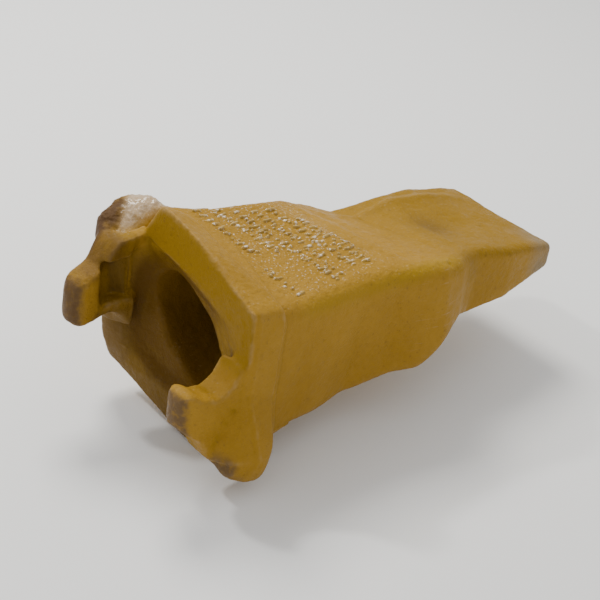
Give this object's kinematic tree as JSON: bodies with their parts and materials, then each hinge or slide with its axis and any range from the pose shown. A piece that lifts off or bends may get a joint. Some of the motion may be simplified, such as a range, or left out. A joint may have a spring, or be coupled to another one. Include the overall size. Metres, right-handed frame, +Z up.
{
  "type": "excavator bucket tooth",
  "caption": "Cast steel bucket tooth with a twist-on socket, a collar band, corner ears, side lock tabs and a flared spade tip.",
  "frame": {"origin": "centre of the socket mouth, on the long axis", "axes": "+X from the socket mouth to the cutting edge, +Y to the left when looking along +X, +Z up"},
  "size_m": [0.349, 0.162, 0.146],
  "materials": {
    "yellow_paint": "semi-gloss paint over rough cast steel"
  },
  "bodies": {
    "root": {"tooth_casting": "yellow_paint"}
  },
  "joints": []
}
